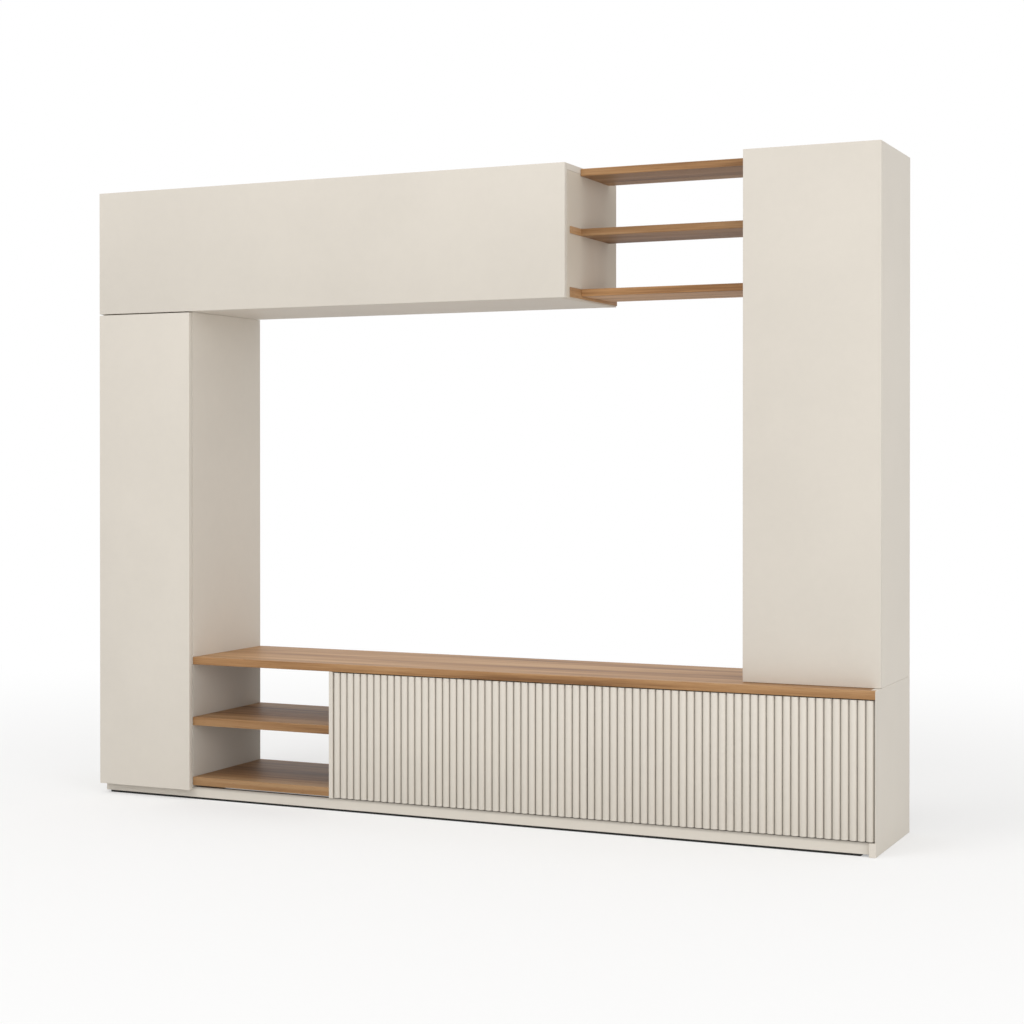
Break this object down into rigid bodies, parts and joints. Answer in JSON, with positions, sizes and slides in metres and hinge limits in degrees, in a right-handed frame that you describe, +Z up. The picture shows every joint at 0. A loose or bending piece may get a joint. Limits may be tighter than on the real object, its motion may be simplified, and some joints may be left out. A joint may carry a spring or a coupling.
{
  "type": "entertainment center",
  "caption": "Wall-wide entertainment center: a low base with a bench top, fluted drop-down fronts and a niche, two tall cupboards, a bridge cupboard and open shelves round a screen space.",
  "frame": {"origin": "middle of the footprint, on the floor", "axes": "+X along the width to the right seen from the front, +Y from the front to the back, +Z up"},
  "size_m": [2.4, 0.4, 1.846],
  "materials": {
    "cream": "matt cream lacquer on board",
    "oak": "oiled oak veneer, grain along the width",
    "black_plastic": "matt black",
    "strut_black": "satin black",
    "steel": "nickel plated"
  },
  "bodies": {
    "carcass": {"base_back": "cream", "base_bottom": "cream", "base_partition": "cream", "base_side_right": "cream", "bench_top": "oak", "bridge_back": "cream", "bridge_bottom": "cream", "bridge_flap_hinge_1": "steel", "bridge_flap_hinge_2": "steel", "bridge_partition": "cream", "bridge_side_left": "cream", "bridge_side_right": "cream", "bridge_strip_low": "oak", "bridge_strip_middle": "oak", "bridge_top": "cream", "fluted_flap_left_hinge_1": "steel", "fluted_flap_left_hinge_2": "steel", "fluted_flap_right_hinge_1": "steel", "fluted_flap_right_hinge_2": "steel", "left_door_hinge_1": "steel", "left_door_hinge_2": "steel", "left_door_hinge_3": "steel", "left_tower_back": "cream", "left_tower_bottom": "cream", "left_tower_shelf_1": "cream", "left_tower_shelf_2": "cream", "left_tower_shelf_3": "cream", "left_tower_side_left": "cream", "left_tower_side_right": "cream", "left_tower_top": "cream", "niche_divider": "cream", "niche_shelf_bottom": "oak", "niche_shelf_middle": "oak", "plinth_back": "cream", "plinth_front": "cream", "right_door_hinge_1": "steel", "right_door_hinge_2": "steel", "right_door_hinge_3": "steel", "right_tower_back": "cream", "right_tower_bottom": "cream", "right_tower_shelf_1": "cream", "right_tower_shelf_2": "cream", "right_tower_shelf_3": "cream", "right_tower_side_left": "cream", "right_tower_side_right": "cream", "right_tower_top": "cream", "runner_back": "black_plastic", "runner_front": "black_plastic", "upper_shelf_low": "oak", "upper_shelf_middle": "oak", "upper_shelf_top": "oak"},
    "left_door": {"left_door": "cream"},
    "right_door": {"right_door": "cream"},
    "bridge_flap": {"bridge_flap": "cream"},
    "fluted_flap_left": {"fluted_flap_left": "cream"},
    "fluted_flap_right": {"fluted_flap_right": "cream"},
    "strut_tube_left": {"strut_tube_left": "strut_black"},
    "strut_tube_right": {"strut_tube_right": "strut_black"},
    "strut_rod_left": {"strut_rod_left": "steel"},
    "strut_rod_right": {"strut_rod_right": "steel"}
  },
  "joints": [
    {"name": "left_door_hinge", "type": "hinge", "parent": "carcass", "child": "left_door", "pos_m": [-1.2, -0.2, 0.74515], "axis": [0, 0, -1], "range_deg": [0, 110]},
    {"name": "right_door_hinge", "type": "hinge", "parent": "carcass", "child": "right_door", "pos_m": [1.2, -0.1295, 1.1375], "axis": [0, 0, 1], "range_deg": [0, 110]},
    {"name": "bridge_flap_hinge", "type": "hinge", "parent": "carcass", "child": "bridge_flap", "pos_m": [-0.42825, -0.2, 1.833], "axis": [-1, 0, 0], "range_deg": [0, 75]},
    {"name": "fluted_flap_left_hinge", "type": "hinge", "parent": "carcass", "child": "fluted_flap_left", "pos_m": [0.00343, -0.182, 0.04], "axis": [1, 0, 0], "range_deg": [0, 90]},
    {"name": "fluted_flap_right_hinge", "type": "hinge", "parent": "carcass", "child": "fluted_flap_right", "pos_m": [0.79928, -0.182, 0.04], "axis": [1, 0, 0], "range_deg": [0, 90]},
    {"name": "strut_left_turn", "type": "hinge", "parent": "carcass", "child": "strut_tube_left", "pos_m": [-1.1737, -0.16, 1.798], "axis": [-1, 0, 0], "range_deg": [0, 74.9]},
    {"name": "strut_left_slide", "type": "slide", "parent": "strut_tube_left", "child": "strut_rod_left", "axis": [0, -0.0961, -0.9954], "range_m": [0, 0.0652]},
    {"name": "strut_right_turn", "type": "hinge", "parent": "carcass", "child": "strut_tube_right", "pos_m": [0.3172, -0.16, 1.798], "axis": [-1, 0, 0], "range_deg": [0, 74.9]},
    {"name": "strut_right_slide", "type": "slide", "parent": "strut_tube_right", "child": "strut_rod_right", "axis": [0, -0.0961, -0.9954], "range_m": [0, 0.0652]}
  ],
  "couplings": [
    {"joint": "strut_left_turn", "follows": "bridge_flap_hinge", "ratio": 0.9925},
    {"joint": "strut_left_slide", "follows": "bridge_flap_hinge", "m_per_rad": 0.049419},
    {"joint": "strut_right_turn", "follows": "bridge_flap_hinge", "ratio": 0.9925},
    {"joint": "strut_right_slide", "follows": "bridge_flap_hinge", "m_per_rad": 0.049419}
  ]
}
